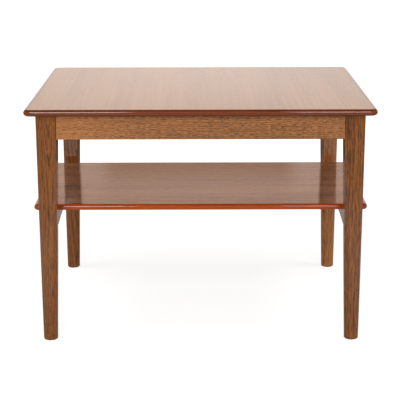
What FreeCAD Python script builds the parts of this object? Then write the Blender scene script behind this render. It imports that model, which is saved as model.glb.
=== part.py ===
import FreeCAD, Part
import math
import os
import re

import Sketcher

# A side table with a lower shelf. Millimetres. The length runs along X, the front is -Y, Z is up,
# and the origin is on the floor under the middle of the top.
#
# Four legs stand at the corners. Each is a square blank whose two outer faces are plumb and whose two
# inner faces taper, brought inside a long cone: near the top the cone only eases the arrises, and at
# the floor it leaves a round foot. Four aprons are tenoned between the legs and hold the top by wooden
# buttons. Two arched rails are tenoned between the front and back legs and carry the shelf, which is
# screwed down from below. The top and the shelf are veneered boards, lipped all round with mitred
# solid wood that is worked to a full bullnose.

# Each row is the alias of a size, its value and what it measures.
SIZES = [
    ("table_length", 750, "length of the top, lippings included"),
    ("table_depth", 600, "depth of the top, lippings included"),
    ("table_height", 525, "floor to the upper face of the top"),
    ("top_thickness", 14, "thickness of the top"),
    ("top_corner_radius", 15, "corners of the top in plan"),
    ("top_lipping_width", 10, "width of the solid edge round the top"),
    ("top_overhang", 23.5, "top beyond the outer faces of the legs"),
    ("bullnose_flat", 0.3, "upright flat left at the middle of a bullnose"),
    ("leg_size", 44.7, "side of a leg where it meets the top"),
    ("foot_size", 31.2, "width of a leg at the floor"),
    ("arris_width", 2.8, "part of a leg's face that the rounded arris takes at the top"),
    ("foot_flat", 2, "width of the flats that are left at the floor"),
    ("foot_chamfer", 1.5, "chamfer round the bottom of the foot"),
    ("apron_height", 53.5, "height of an apron"),
    ("apron_thickness", 20, "thickness of an apron"),
    ("apron_tenon_thickness", 7, "thickness of an apron's tenon"),
    ("apron_tenon_setback", 7, "outer face of an apron to its tenon"),
    ("apron_tenon_end", 17, "outer face of a leg to the end of the tenon"),
    ("apron_tenon_shoulder", 9, "shoulder above and below an apron's tenon"),
    ("rail_thickness", 24, "thickness of a shelf rail"),
    ("rail_setback", 8.5, "outer face of a leg to the outer face of the rail"),
    ("rail_end_height", 41, "height of a shelf rail at its shoulders"),
    ("rail_arch_rise", 15, "rise of the arch under a shelf rail"),
    ("rail_tenon_thickness", 10, "thickness of a rail's tenon"),
    ("rail_tenon_end", 17, "outer face of a leg to the end of the rail's tenon"),
    ("rail_tenon_shoulder", 7, "shoulder above and below a rail's tenon"),
    ("shelf_height", 295, "floor to the upper face of the shelf"),
    ("shelf_overhang", 19.5, "shelf beyond the outer faces of the legs at its ends"),
    ("shelf_leg_gap", 28.5, "legs to the long edges of the shelf"),
    ("shelf_thickness", 13, "thickness of the shelf"),
    ("shelf_corner_radius", 9.5, "corners of the shelf in plan"),
    ("shelf_lipping_width", 8, "width of the solid edge round the shelf"),
    ("mortise_fit", 0.1, "clearance on each cheek of a tenon"),
    ("mortise_depth_gap", 1, "glue space at the end of a tenon"),
    ("groove_drop", 11, "upper edge of an apron to its button groove"),
    ("groove_height", 9, "height of the button groove"),
    ("groove_depth", 8, "depth of the button groove"),
    ("button_width", 35, "width of a button along its apron"),
    ("button_reach", 32, "face of the apron to the back of a button"),
    ("button_tongue", 7.5, "tongue of a button in its groove"),
    ("button_fit", 0.2, "clearance of the tongue in the groove"),
    ("button_chamfer", 3, "chamfer at the lower back edge of a button"),
    ("button_screw_inset", 17, "face of the apron to the screw of a button"),
    ("button_spacing", 300, "between the two buttons of a long apron"),
    ("block_leg_gap", 1.5, "leg to the notch of a corner block"),
    ("block_reach", 100, "outer face of a leg to the far end of a block"),
    ("block_height", 40, "height of a corner block"),
    ("block_drop", 5, "underside of the top to a corner block"),
    ("shelf_screw_spacing", 240, "between the two screws of a rail"),
    ("shelf_screw_bite", 9, "shelf screw inside the shelf"),
    ("screw_radius", 2, "radius of a wood screw"),
    ("screw_head_radius", 4, "radius of a screw's head"),
    ("screw_head_height", 2.4, "height of a screw's head"),
    ("screw_length", 30, "length of a screw below its head"),
    ("screw_clearance", 0.15, "gap round a screw and its head"),
    ("pilot_gap", 0.5, "space past the end of a screw"),
]
ALIASES = {alias for alias, value, note in SIZES}

# Sizes that follow from the ones above. Each is a formula in the words of the sheet.
LEG_LENGTH = "(table_height - top_thickness)"
LEG_OUTER_X = "(table_length / 2 - top_overhang)"
LEG_OUTER_Y = "(table_depth / 2 - top_overhang)"
FOOT_CONE_RADIUS = "(sqrt(foot_size * foot_size + foot_flat * foot_flat) / 2)"
HEAD_FLAT = "(leg_size - 2 * arris_width)"
HEAD_CONE_RADIUS = f"(sqrt(leg_size * leg_size + {HEAD_FLAT} * {HEAD_FLAT}) / 2)"
APRON_BOTTOM = f"({LEG_LENGTH} - apron_height)"
SHELF_UNDERSIDE = "(shelf_height - shelf_thickness)"
RAIL_BOTTOM = f"({SHELF_UNDERSIDE} - rail_end_height)"
BUTTON_THICKNESS = "(groove_drop + groove_height - button_fit)"
HOLE_RADIUS = "(screw_radius + screw_clearance)"
COUNTERBORE_RADIUS = "(screw_head_radius + screw_clearance)"
RAIL_SCREW_SEAT = f"({SHELF_UNDERSIDE} + shelf_screw_bite - screw_length)"

TOLERANCE = 1e-4
UP = FreeCAD.Vector(0, 0, 1)

doc = FreeCAD.newDocument("side_table")
sheet = doc.addObject("Spreadsheet::Sheet", "Sizes")
pieces = []


def fill_sheet():
    """Write every size into the sheet, one row each."""
    for row, (alias, value, note) in enumerate(SIZES, start=1):
        sheet.set(f"A{row}", note)
        sheet.set(f"B{row}", str(value))
        sheet.setAlias(f"B{row}", alias)
    doc.recompute()


def bound(formula):
    """The formula with the sheet's name before each alias."""
    return re.sub(r"[a-z_]+", lambda word: f"Sizes.{word[0]}" if word[0] in ALIASES else word[0], formula)


def number(formula):
    """The present value of a formula."""
    return float(sheet.evalExpression(bound(formula)))


def bind(target, prop, formula):
    """Tie a property to the sheet."""
    target.setExpression(prop, bound(formula))


def leg_width_at(height):
    """Width of a leg at a height above the floor, up the straight taper."""
    return f"(foot_size + (leg_size - foot_size) * {height} / {LEG_LENGTH})"


SHELF_LENGTH = f"(2 * ({LEG_OUTER_X} + shelf_overhang))"
SHELF_DEPTH = f"(2 * ({LEG_OUTER_Y} - {leg_width_at('shelf_height')} - shelf_leg_gap))"


def add_body(label, turn=0, x="0", y="0", z="0"):
    """A sub-part, turned about Z in degrees and placed by formulas."""
    body = doc.addObject("PartDesign::Body", label)
    body.Label = label
    body.Placement = FreeCAD.Placement(FreeCAD.Vector(0, 0, 0), FreeCAD.Rotation(UP, turn))
    for axis, formula in (("x", x), ("y", y), ("z", z)):
        bind(body, f"Placement.Base.{axis}", formula)
    pieces.append(body)
    return body


def add_sketch(body, name, role, shift="0"):
    """A sketch on one of the body's own planes, shifted along that plane's normal."""
    sketch = body.newObject("Sketcher::SketchObject", name)
    plane = next(feature for feature in body.Origin.OriginFeatures if feature.Role == role)
    sketch.AttachmentSupport = [(plane, "")]
    sketch.MapMode = "FlatFace"
    bind(sketch, "AttachmentOffset.Base.z", shift)
    return sketch


def fix_point(sketch, element, end, x, y):
    """Hold one point of an element at a place given by two formulas."""
    for kind, formula in (("DistanceX", x), ("DistanceY", y)):
        index = sketch.addConstraint(Sketcher.Constraint(kind, element, end, number(formula)))
        bind(sketch, f"Constraints[{index}]", formula)


def fix_radius(sketch, element, radius):
    """Hold the radius of an arc or circle."""
    index = sketch.addConstraint(Sketcher.Constraint("Radius", element, number(radius)))
    bind(sketch, f"Constraints[{index}]", radius)


def make_arc(start, end, centre):
    """The arc between two points, with the numbers of its first and second end in the sketch."""
    spoke_a = start - centre
    spoke_b = end - centre
    angle_a = math.atan2(spoke_a.y, spoke_a.x)
    angle_b = math.atan2(spoke_b.y, spoke_b.x)
    circle = Part.Circle(centre, UP, spoke_a.Length)
    if spoke_a.cross(spoke_b).z > 0:
        return Part.ArcOfCircle(circle, angle_a, angle_b), (1, 2)
    return Part.ArcOfCircle(circle, angle_b, angle_a), (2, 1)


def draw_outline(sketch, corners, arcs=None):
    """A closed outline through the corners, each a pair of formulas.

    arcs gives, by the number of the stretch that starts at a corner, a radius and a centre.
    """
    arcs = arcs or {}
    points = [FreeCAD.Vector(number(x), number(y), 0) for x, y in corners]
    elements = []
    for index, start in enumerate(points):
        end = points[(index + 1) % len(points)]
        if index in arcs:
            radius, (centre_x, centre_y) = arcs[index]
            centre = FreeCAD.Vector(number(centre_x), number(centre_y), 0)
            curve, ends = make_arc(start, end, centre)
        else:
            curve, ends = Part.LineSegment(start, end), (1, 2)
        elements.append((sketch.addGeometry(curve), ends))
    for index, (element, ends) in enumerate(elements):
        following, following_ends = elements[(index + 1) % len(elements)]
        join = Sketcher.Constraint("Coincident", element, ends[1], following, following_ends[0])
        sketch.addConstraint(join)
    for index, (element, ends) in enumerate(elements):
        fix_point(sketch, element, ends[0], *corners[index])
        if index in arcs:
            fix_radius(sketch, element, arcs[index][0])


def draw_box(sketch, left, bottom, right, top):
    """An upright rectangle between four formulas."""
    draw_outline(sketch, [(left, bottom), (right, bottom), (right, top), (left, top)])


def draw_circle(sketch, x, y, radius):
    """A circle at a place given by formulas."""
    centre = FreeCAD.Vector(number(x), number(y), 0)
    element = sketch.addGeometry(Part.Circle(centre, UP, number(radius)))
    fix_point(sketch, element, 3, x, y)
    fix_radius(sketch, element, radius)


def add_pad(body, name, sketch, length, reverse=False, both_ways=False):
    """Pad a sketch, along its normal, against it or half each way."""
    pad = body.newObject("PartDesign::Pad", name)
    pad.Profile = sketch
    bind(pad, "Length", length)
    pad.Reversed = reverse
    pad.Midplane = both_ways
    doc.recompute()
    return pad


def add_pocket(body, name, sketch, depth=None, reverse=False):
    """Cut a sketch away, to a depth or through all, and make sure that it cut something."""
    before = body.Shape.Volume
    pocket = body.newObject("PartDesign::Pocket", name)
    pocket.Profile = sketch
    if depth is None:
        pocket.Type = "ThroughAll"
    else:
        bind(pocket, "Length", depth)
    pocket.Reversed = reverse
    doc.recompute()
    if not pocket.Shape.Volume < before - TOLERANCE:
        raise ValueError(f"{body.Label}: {name} cuts nothing")
    return pocket


def edge_names(feature, wanted):
    """Names of the feature's edges for which wanted(edge) holds."""
    edges = feature.Shape.Edges
    return [f"Edge{index}" for index, edge in enumerate(edges, start=1) if wanted(edge)]


def at_height(edge, height):
    """Whether an edge lies flat at a height of its body."""
    return abs(edge.BoundBox.ZMin - height) < TOLERANCE and abs(edge.BoundBox.ZMax - height) < TOLERANCE


def add_leg_blank(name):
    """A square blank with two plumb and two tapered faces, standing on the origin in the +X +Y quarter."""
    blank = doc.addObject("Part::Wedge", name)
    lengths = {
        "Ymax": LEG_LENGTH,
        "Xmax": "foot_size",
        "X2max": "leg_size",
        "Zmin": "-foot_size",
        "Z2min": "-leg_size",
    }
    for prop in ("Xmin", "X2min", "Ymin", "Zmax", "Z2max"):
        setattr(blank, prop, 0)
    for prop, formula in lengths.items():
        bind(blank, prop, formula)
    # A wedge grows along its own Y, which is stood upright here.
    blank.Placement.Rotation = FreeCAD.Rotation(FreeCAD.Vector(1, 0, 0), 90)
    return blank


def add_leg_cone(name):
    """The cone about the leaning centre line of a blank, longer than the blank at both ends."""
    foot_centre = FreeCAD.Vector(number("foot_size / 2"), number("foot_size / 2"), 0)
    head_centre = FreeCAD.Vector(number("leg_size / 2"), number("leg_size / 2"), number(LEG_LENGTH))
    centre_line = head_centre - foot_centre
    lean = "(leg_size - foot_size) / 2"
    run = f"sqrt({LEG_LENGTH} * {LEG_LENGTH} + 2 * ({lean}) * ({lean}))"
    growth = f"(({HEAD_CONE_RADIUS} - {FOOT_CONE_RADIUS}) * leg_size / ({run}))"
    cone = doc.addObject("Part::Cone", name)
    bind(cone, "Height", f"{run} + 2 * leg_size")
    bind(cone, "Radius1", f"{FOOT_CONE_RADIUS} - {growth}")
    bind(cone, "Radius2", f"{HEAD_CONE_RADIUS} + {growth}")
    cone.Placement.Rotation = FreeCAD.Rotation(UP, centre_line)
    bind(cone, "Placement.Base.x", f"foot_size / 2 - {lean} * leg_size / ({run})")
    bind(cone, "Placement.Base.y", f"foot_size / 2 - {lean} * leg_size / ({run})")
    bind(cone, "Placement.Base.z", f"-{LEG_LENGTH} * leg_size / ({run})")
    return cone


def add_mortise(body, name, inner_face, near, width, floor, bottom, height):
    """Cut a mortise into the inner face of a leg that looks along "x" or "y".

    near and width are measured across the leg from its other outer face, floor is the bottom of the
    mortise measured from the outer face behind it, and bottom and height are along the leg.
    """
    if inner_face == "x":
        sketch = add_sketch(body, name + "Sketch", "YZ_Plane", floor)
        reverse = True
    else:
        sketch = add_sketch(body, name + "Sketch", "XZ_Plane", f"-{floor}")
        reverse = False
    draw_box(sketch, near, bottom, f"({near} + {width})", f"({bottom} + {height})")
    add_pocket(body, name, sketch, reverse=reverse)


def add_foot_chamfer(leg):
    """Turn a chamfer round the bottom of the foot."""
    waste = add_sketch(leg, "FootWaste", "XZ_Plane", "-foot_size / 2")
    bind(waste, "AttachmentOffset.Base.x", "foot_size / 2")
    inner = "(foot_size / 2 - foot_chamfer)"
    draw_outline(waste, [(inner, "0"), ("foot_size", "0"), ("foot_size", f"(foot_size - {inner})")])
    before = leg.Shape.Volume
    groove = leg.newObject("PartDesign::Groove", "FootChamfer")
    groove.Profile = waste
    groove.ReferenceAxis = (waste, ["V_Axis"])
    groove.Angle = 360
    doc.recompute()
    if not groove.Shape.Volume < before - TOLERANCE:
        raise ValueError(f"{leg.Label}: the foot has no chamfer")


def add_leg(label, turn, x, y, rail_face):
    """A leg, whose own origin is the sharp outer corner of its foot, with x and y pointing inwards."""
    shaped = doc.addObject("Part::Common", "Shaped_" + label)
    shaped.Base = add_leg_blank("Blank_" + label)
    shaped.Tool = add_leg_cone("Cone_" + label)
    doc.recompute()
    leg = add_body(label, turn, x, y)
    leg.BaseFeature = shaped
    doc.recompute()
    add_foot_chamfer(leg)
    apron_mortise = dict(
        near="(apron_tenon_setback - mortise_fit)",
        width="(apron_tenon_thickness + 2 * mortise_fit)",
        floor="(apron_tenon_end - mortise_depth_gap)",
        bottom=f"({APRON_BOTTOM} + apron_tenon_shoulder - mortise_fit)",
        height="(apron_height - 2 * apron_tenon_shoulder + 2 * mortise_fit)",
    )
    add_mortise(leg, "ApronMortiseX", "x", **apron_mortise)
    add_mortise(leg, "ApronMortiseY", "y", **apron_mortise)
    add_mortise(
        leg,
        "RailMortise",
        rail_face,
        near="(rail_setback + rail_thickness / 2 - rail_tenon_thickness / 2 - mortise_fit)",
        width="(rail_tenon_thickness + 2 * mortise_fit)",
        floor="(rail_tenon_end - mortise_depth_gap)",
        bottom=f"({RAIL_BOTTOM} + rail_tenon_shoulder - mortise_fit)",
        height="(rail_end_height - 2 * rail_tenon_shoulder + 2 * mortise_fit)",
    )


def add_apron(label, turn, x, y, half_span):
    """An apron, whose own y runs inwards from its outer face and whose z starts at its lower edge.

    half_span is from its middle to the outer face of the leg at either end. The shoulders lean with
    the taper of the legs.
    """
    apron = add_body(label, turn, x, y, APRON_BOTTOM)
    upper = f"({half_span} - leg_size)"
    lower = f"({half_span} - {leg_width_at(APRON_BOTTOM)})"
    face = add_sketch(apron, "Face", "XZ_Plane")
    corners = [("-" + lower, "0"), (lower, "0"), (upper, "apron_height"), ("-" + upper, "apron_height")]
    draw_outline(face, corners)
    add_pad(apron, "Board", face, "apron_thickness", reverse=True)
    tenon_end = f"({half_span} - apron_tenon_end)"
    middle = "(apron_tenon_setback + apron_tenon_thickness / 2)"
    tenons = add_sketch(apron, "TenonFace", "XZ_Plane", "-" + middle)
    tenon_top = "(apron_height - apron_tenon_shoulder)"
    draw_box(tenons, "-" + tenon_end, "apron_tenon_shoulder", tenon_end, tenon_top)
    add_pad(apron, "Tenons", tenons, "apron_tenon_thickness", both_ways=True)
    groove = add_sketch(apron, "GrooveFace", "XZ_Plane", "-apron_thickness")
    groove_top = "(apron_height - groove_drop)"
    draw_box(groove, "-" + lower, f"({groove_top} - groove_height)", lower, groove_top)
    add_pocket(apron, "ButtonGroove", groove, "groove_depth", reverse=True)


def add_rail(label, turn, x):
    """An arched shelf rail, whose own x runs along it and whose y runs inwards from its outer face."""
    rail = add_body(label, turn, x, "0", RAIL_BOTTOM)
    upper = f"({LEG_OUTER_Y} - {leg_width_at(SHELF_UNDERSIDE)})"
    lower = f"({LEG_OUTER_Y} - {leg_width_at(RAIL_BOTTOM)})"
    arch_radius = f"(({lower} * {lower} + rail_arch_rise * rail_arch_rise) / (2 * rail_arch_rise))"
    arch_centre = ("0", f"(rail_arch_rise - {arch_radius})")
    face = add_sketch(rail, "Face", "XZ_Plane")
    corners = [("-" + lower, "0"), (lower, "0"), (upper, "rail_end_height"), ("-" + upper, "rail_end_height")]
    draw_outline(face, corners, {0: (arch_radius, arch_centre)})
    add_pad(rail, "Board", face, "rail_thickness", reverse=True)
    tenon_end = f"({LEG_OUTER_Y} - rail_tenon_end)"
    for name, near, far in (("LeftTenon", "-" + tenon_end, "-" + lower), ("RightTenon", lower, tenon_end)):
        tenon = add_sketch(rail, name + "Face", "XZ_Plane", "-rail_thickness / 2")
        overlap = "rail_tenon_thickness"
        left = near if near.startswith("-") else f"({near} - {overlap})"
        right = f"({far} + {overlap})" if far.startswith("-") else far
        draw_box(tenon, left, "rail_tenon_shoulder", right, "(rail_end_height - rail_tenon_shoulder)")
        add_pad(rail, name, tenon, "rail_tenon_thickness", both_ways=True)
    seat = f"({RAIL_SCREW_SEAT} - {RAIL_BOTTOM})"
    for name, radius, upwards in (("Holes", HOLE_RADIUS, True), ("Seats", COUNTERBORE_RADIUS, False)):
        holes = add_sketch(rail, name + "Face", "XY_Plane", seat)
        for side in ("-", ""):
            draw_circle(holes, side + "shelf_screw_spacing / 2", "rail_thickness / 2", radius)
        add_pocket(rail, name, holes, reverse=upwards)


def add_board(label, length, depth, lipping, thickness, underside, screws, bite):
    """The veneered board inside the lippings, with pilot holes in its lower face."""
    board = add_body(label, z=underside)
    outline = add_sketch(board, "Outline", "XY_Plane")
    half_length = f"({length} / 2 - {lipping})"
    half_depth = f"({depth} / 2 - {lipping})"
    draw_box(outline, "-" + half_length, "-" + half_depth, half_length, half_depth)
    add_pad(board, "Board", outline, thickness)
    pilots = add_sketch(board, "PilotFace", "XY_Plane")
    for x, y in screws:
        draw_circle(pilots, x, y, HOLE_RADIUS)
    add_pocket(board, "Pilots", pilots, f"{bite} + pilot_gap", reverse=True)


def add_lipping(label, turn, x, y, z, length, width, thickness, corner_radius):
    """One mitred lipping, whose own x runs along it and whose y runs inwards from its outer edge.

    It turns each corner as far as the mitre, which lies on the line to the middle of the rounding.
    """
    lipping = add_body(label, turn, x, y, z)
    outer = f"({length} / 2)"
    inner = f"({outer} - {width})"
    straight = f"({outer} - {corner_radius})"
    mitre = f"({corner_radius} * (1 - 1 / sqrt(2)))"
    mitre_x = f"({outer} - {mitre})"
    corners = [("-" + mitre_x, mitre), ("-" + straight, "0"), (straight, "0")]
    corners += [(mitre_x, mitre), (inner, width), ("-" + inner, width)]
    arcs = {
        0: (corner_radius, ("-" + straight, corner_radius)),
        2: (corner_radius, (straight, corner_radius)),
    }
    outline = add_sketch(lipping, "Outline", "XY_Plane")
    draw_outline(outline, corners, arcs)
    pad = add_pad(lipping, "Strip", outline, thickness)
    heights = (0, number(thickness))

    def on_outer_edge(edge):
        level = any(at_height(edge, height) for height in heights)
        return level and (isinstance(edge.Curve, Part.Circle) or edge.BoundBox.YMax < TOLERANCE)

    bullnose = lipping.newObject("PartDesign::Fillet", "Bullnose")
    bullnose.Base = (pad, edge_names(pad, on_outer_edge))
    bind(bullnose, "Radius", f"({thickness} - bullnose_flat) / 2")
    doc.recompute()


def add_lippings(prefix, underside, length, depth, width, thickness, corner_radius):
    """The four lippings round a board."""
    sides = (
        ("front", 0, "0", f"-{depth} / 2", length),
        ("right", 90, f"{length} / 2", "0", depth),
        ("back", 180, "0", f"{depth} / 2", length),
        ("left", 270, f"-{length} / 2", "0", depth),
    )
    for side, turn, x, y, run in sides:
        label = f"{prefix}_lipping_{side}"
        add_lipping(label, turn, x, y, underside, run, width, thickness, corner_radius)


def add_corner_block(label, turn, x, y):
    """A glued corner block, whose own origin is the outer corner of its leg, notched round that leg."""
    block = add_body(label, turn, x, y, f"({LEG_LENGTH} - block_drop - block_height)")
    notch = "(leg_size + block_leg_gap)"
    outline = add_sketch(block, "Outline", "XY_Plane")
    corners = [(notch, "apron_thickness"), ("block_reach", "apron_thickness")]
    corners += [("apron_thickness", "block_reach"), ("apron_thickness", notch), (notch, notch)]
    draw_outline(outline, corners)
    add_pad(block, "Block", outline, "block_height")


def add_button(label, turn, x, y):
    """A button, whose own x runs along its apron, and whose origin is where apron and top meet."""
    button = add_body(label, turn, x, y, LEG_LENGTH)
    tongue_top = "(-groove_drop - button_fit)"
    side = add_sketch(button, "Side", "YZ_Plane")
    corners = [("-button_tongue", f"-{BUTTON_THICKNESS}"), ("button_reach", f"-{BUTTON_THICKNESS}")]
    corners += [("button_reach", "0"), ("0", "0"), ("0", tongue_top), ("-button_tongue", tongue_top)]
    draw_outline(side, corners)
    pad = add_pad(button, "Button", side, "button_width", both_ways=True)
    reach = number("button_reach")
    under = -number(BUTTON_THICKNESS)

    def lower_back(edge):
        return at_height(edge, under) and abs(edge.BoundBox.YMin - reach) < TOLERANCE

    chamfer = button.newObject("PartDesign::Chamfer", "BackChamfer")
    chamfer.Base = (pad, edge_names(pad, lower_back))
    bind(chamfer, "Size", "button_chamfer")
    doc.recompute()
    hole = add_sketch(button, "HoleFace", "XY_Plane")
    draw_circle(hole, "0", "button_screw_inset", HOLE_RADIUS)
    add_pocket(button, "ScrewHole", hole)


def screw_solid():
    """One pan head wood screw along +Z, with the seat of its head at the origin."""
    radius = number("screw_radius")
    head_radius = number("screw_head_radius")
    head_height = number("screw_head_height")
    length = number("screw_length")
    profile = [
        FreeCAD.Vector(0, 0, -head_height),
        FreeCAD.Vector(head_radius, 0, -head_height),
        FreeCAD.Vector(head_radius, 0, 0),
        FreeCAD.Vector(radius, 0, 0),
        FreeCAD.Vector(radius, 0, length),
        FreeCAD.Vector(0, 0, length),
    ]
    face = Part.Face(Part.makePolygon(profile + profile[:1]))
    return face.revolve(FreeCAD.Vector(0, 0, 0), UP, 360)


def add_screws(label, places):
    """A set of screws as one sub-part: each place is the seat of the head and the way it points."""
    screw = screw_solid()
    group = doc.addObject("Part::Feature", label)
    group.Label = label
    solids = []
    for seat, direction in places:
        solid = screw.copy()
        solid.Placement = FreeCAD.Placement(seat, FreeCAD.Rotation(UP, direction))
        solids.append(solid)
    group.Shape = Part.makeCompound(solids)
    group.Placement = FreeCAD.Placement()
    pieces.append(group)


def button_places():
    """Name, turn and place of every button, as formulas, and the inward direction of its apron."""
    face_x = f"({LEG_OUTER_X} - apron_thickness)"
    face_y = f"({LEG_OUTER_Y} - apron_thickness)"
    half = "(button_spacing / 2)"
    return (
        ("top_button_front_left", 0, "-" + half, "-" + face_y),
        ("top_button_front_right", 0, half, "-" + face_y),
        ("top_button_right", 90, face_x, "0"),
        ("top_button_back_right", 180, half, face_y),
        ("top_button_back_left", 180, "-" + half, face_y),
        ("top_button_left", 270, "-" + face_x, "0"),
    )


def turned_inwards(turn):
    """The direction of a sub-part's own y after its turn about Z."""
    return FreeCAD.Rotation(UP, turn).multVec(FreeCAD.Vector(0, 1, 0))


def button_screw_places():
    """Formulas for the places of the button screws in the top."""
    places = []
    for label, turn, x, y in button_places():
        inwards = turned_inwards(turn)
        shifted_x = f"({x} + {round(inwards.x)} * button_screw_inset)"
        shifted_y = f"({y} + {round(inwards.y)} * button_screw_inset)"
        places.append((shifted_x, shifted_y))
    return places


def shelf_screw_places():
    """Formulas for the places of the shelf screws."""
    x = f"({LEG_OUTER_X} - rail_setback - rail_thickness / 2)"
    y = "(shelf_screw_spacing / 2)"
    return [(side + x, end + y) for side in ("-", "") for end in ("-", "")]


CORNERS = (
    ("front_left", 0, "-" + LEG_OUTER_X, "-" + LEG_OUTER_Y, "y"),
    ("front_right", 90, LEG_OUTER_X, "-" + LEG_OUTER_Y, "x"),
    ("back_right", 180, LEG_OUTER_X, LEG_OUTER_Y, "y"),
    ("back_left", 270, "-" + LEG_OUTER_X, LEG_OUTER_Y, "x"),
)


def seats_at(places, height):
    """Upward screws at places given by formulas, with their seats at one height."""
    level = number(height)
    return [(FreeCAD.Vector(number(x), number(y), level), UP) for x, y in places]


def check_document():
    """Stop if anything in the document failed or any sub-part is not a sound solid."""
    doc.recompute()
    for item in doc.Objects:
        if {"Invalid", "Error"} & set(item.State):
            raise ValueError(f"{item.Label} failed: {item.State}")
    for piece in pieces:
        if piece.Shape.isNull() or not piece.Shape.isValid() or not piece.Shape.Solids:
            raise ValueError(f"{piece.Label} has no sound solid")


def export_pieces():
    """Write one STEP file for each sub-part."""
    os.makedirs("parts", exist_ok=True)
    for piece in pieces:
        piece.Shape.exportStep(f"parts/{piece.Label}.step")


fill_sheet()

for corner, turn, x, y, rail_face in CORNERS:
    add_leg(f"leg_{corner}", turn, x, y, rail_face)

add_apron("apron_front", 0, "0", "-" + LEG_OUTER_Y, LEG_OUTER_X)
add_apron("apron_right", 90, LEG_OUTER_X, "0", LEG_OUTER_Y)
add_apron("apron_back", 180, "0", LEG_OUTER_Y, LEG_OUTER_X)
add_apron("apron_left", 270, "-" + LEG_OUTER_X, "0", LEG_OUTER_Y)

RAIL_FACE_X = f"({LEG_OUTER_X} - rail_setback)"
add_rail("shelf_rail_right", 90, RAIL_FACE_X)
add_rail("shelf_rail_left", 270, "-" + RAIL_FACE_X)

BUTTON_BITE = f"(screw_length - {BUTTON_THICKNESS})"
add_board(
    "top_panel",
    "table_length",
    "table_depth",
    "top_lipping_width",
    "top_thickness",
    LEG_LENGTH,
    button_screw_places(),
    BUTTON_BITE,
)
add_lippings(
    "top",
    LEG_LENGTH,
    "table_length",
    "table_depth",
    "top_lipping_width",
    "top_thickness",
    "top_corner_radius",
)
add_board(
    "shelf_board",
    SHELF_LENGTH,
    SHELF_DEPTH,
    "shelf_lipping_width",
    "shelf_thickness",
    SHELF_UNDERSIDE,
    shelf_screw_places(),
    "shelf_screw_bite",
)
add_lippings(
    "shelf",
    SHELF_UNDERSIDE,
    SHELF_LENGTH,
    SHELF_DEPTH,
    "shelf_lipping_width",
    "shelf_thickness",
    "shelf_corner_radius",
)

for corner, turn, x, y, rail_face in CORNERS:
    add_corner_block(f"corner_block_{corner}", turn, x, y)
for label, turn, x, y in button_places():
    add_button(label, turn, x, y)

add_screws("button_screws", seats_at(button_screw_places(), f"{LEG_LENGTH} - {BUTTON_THICKNESS}"))
add_screws("shelf_screws", seats_at(shelf_screw_places(), RAIL_SCREW_SEAT))

check_document()
export_pieces()
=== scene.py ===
"""Finishes, lamps and camera for the side table with a shelf.

Lengths are in metres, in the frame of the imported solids.
"""

import math

import bpy
from mathutils import Matrix, Quaternion, Vector


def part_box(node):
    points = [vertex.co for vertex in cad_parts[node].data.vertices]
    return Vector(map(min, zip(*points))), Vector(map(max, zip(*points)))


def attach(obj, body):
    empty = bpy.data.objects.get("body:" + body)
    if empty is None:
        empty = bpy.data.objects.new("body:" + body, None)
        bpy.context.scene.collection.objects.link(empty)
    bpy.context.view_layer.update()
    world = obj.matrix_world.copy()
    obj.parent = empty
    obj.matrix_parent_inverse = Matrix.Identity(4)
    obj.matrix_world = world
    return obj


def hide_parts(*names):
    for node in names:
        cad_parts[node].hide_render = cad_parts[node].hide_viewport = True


bl_info = {
    "name": "Side Table Finishes",
    "version": (1, 0, 0),
    "blender": (4, 5, 0),
    "location": "3D View > Sidebar > Side Table",
    "description": "Timber, lacquer, fastenings and studio for a side table with a shelf",
    "category": "Object",
}

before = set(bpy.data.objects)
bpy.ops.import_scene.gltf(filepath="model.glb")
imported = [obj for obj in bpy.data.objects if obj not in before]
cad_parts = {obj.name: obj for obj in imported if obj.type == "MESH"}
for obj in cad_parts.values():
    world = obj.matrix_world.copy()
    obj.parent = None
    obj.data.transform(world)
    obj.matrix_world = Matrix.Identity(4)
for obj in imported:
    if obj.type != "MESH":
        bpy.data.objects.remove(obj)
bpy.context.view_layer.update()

BODY = "root"


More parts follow.
